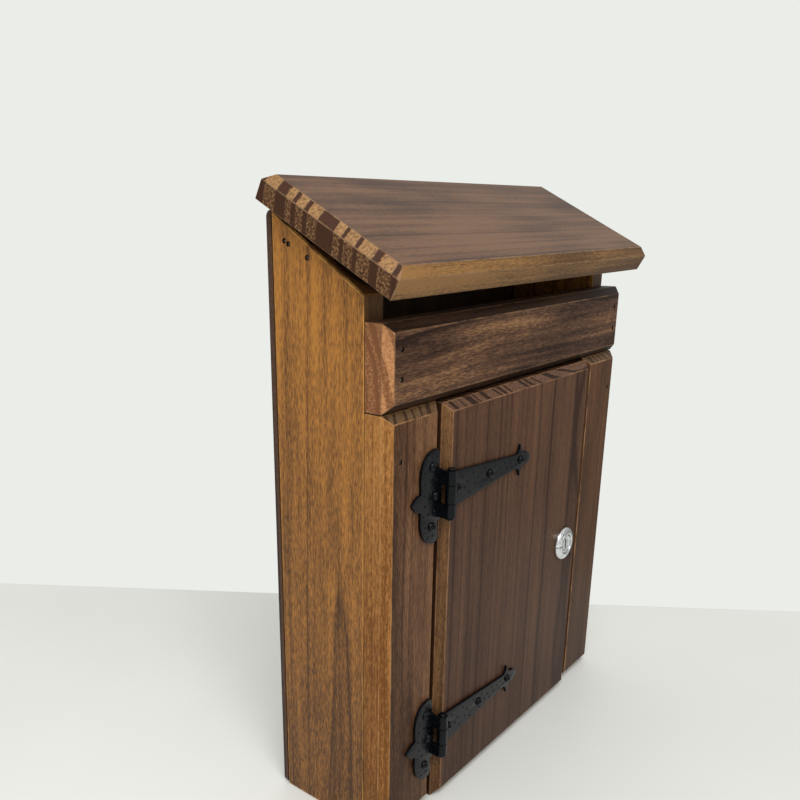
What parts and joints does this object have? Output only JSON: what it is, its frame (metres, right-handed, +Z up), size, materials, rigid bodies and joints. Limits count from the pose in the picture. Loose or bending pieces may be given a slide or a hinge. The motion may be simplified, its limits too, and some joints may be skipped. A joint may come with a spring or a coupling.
{
  "type": "wall mounted mailbox",
  "caption": "Rustic stained wood wall mailbox with a sloping roof board, a mail slot under it, and a side-hung door on black T-hinges with a chrome cam lock.",
  "frame": {"origin": "on the back face of the back panel, at the middle of its width and 200 mm above the underside of the box, where it lies against the wall", "axes": "+Z up, +Y into the wall, +X to the right as seen from the front"},
  "size_m": [0.338, 0.1089, 0.4339],
  "materials": {
    "side_wood": "honey brown stained softwood, vertical grain, satin",
    "front_wood": "dark walnut stained softwood, satin",
    "roof_wood": "walnut stained softwood, grain across the width, satin sheen",
    "inner_wood": "lightly stained softwood",
    "black_paint": "satin black powder paint over hammered steel",
    "zinc_steel": "bright zinc plated steel",
    "chrome": "polished chrome plate"
  },
  "bodies": {
    "cabinet": {"back_panel": "inner_wood", "side_panel_left": "side_wood", "side_panel_right": "side_wood", "bottom_board": "inner_wood", "roof_board": "roof_wood", "roof_bearer_left": "inner_wood", "roof_bearer_right": "inner_wood", "front_rail": "front_wood", "stile_left": "front_wood", "stile_right": "front_wood", "hinge_leaf_lower": "black_paint", "hinge_leaf_upper": "black_paint", "hinge_pin_lower": "black_paint", "hinge_pin_upper": "black_paint", "leaf_screw_lower_1": "black_paint", "leaf_screw_lower_2": "black_paint", "leaf_screw_lower_3": "black_paint", "leaf_screw_upper_1": "black_paint", "leaf_screw_upper_2": "black_paint", "leaf_screw_upper_3": "black_paint", "side_nail_left_1": "zinc_steel", "side_nail_left_2": "zinc_steel", "side_nail_left_3": "zinc_steel", "side_nail_right_1": "zinc_steel", "side_nail_right_2": "zinc_steel", "side_nail_right_3": "zinc_steel", "rail_nail_left_1": "zinc_steel", "rail_nail_left_2": "zinc_steel", "rail_nail_right_1": "zinc_steel", "rail_nail_right_2": "zinc_steel", "stile_nail_left": "zinc_steel", "stile_nail_right": "zinc_steel", "back_nail_left_1": "zinc_steel", "back_nail_left_2": "zinc_steel", "back_nail_left_3": "zinc_steel", "back_nail_right_1": "zinc_steel", "back_nail_right_2": "zinc_steel", "back_nail_right_3": "zinc_steel", "bottom_nail_left": "zinc_steel", "bottom_nail_right": "zinc_steel", "roof_screw_left_1": "zinc_steel", "roof_screw_left_2": "zinc_steel", "roof_screw_right_1": "zinc_steel", "roof_screw_right_2": "zinc_steel"},
    "door": {"door_board": "front_wood", "hinge_strap_lower": "black_paint", "hinge_strap_upper": "black_paint", "strap_screw_lower_1": "black_paint", "strap_screw_lower_2": "black_paint", "strap_screw_lower_3": "black_paint", "strap_screw_upper_1": "black_paint", "strap_screw_upper_2": "black_paint", "strap_screw_upper_3": "black_paint", "lock_housing": "chrome", "lock_nut": "zinc_steel"},
    "lock_core": {"lock_plug": "chrome", "lock_cam": "zinc_steel", "cam_screw": "zinc_steel"}
  },
  "joints": [
    {"name": "door_hinge", "type": "hinge", "parent": "cabinet", "child": "door", "pos_m": [-0.1031, -0.1032, -0.052], "axis": [0, 0, -1], "range_deg": [0, 175]},
    {"name": "lock_turn", "type": "hinge", "parent": "door", "child": "lock_core", "pos_m": [0.0763, -0.0991, -0.052], "axis": [0, 1, 0], "range_deg": [0, 90]}
  ]
}
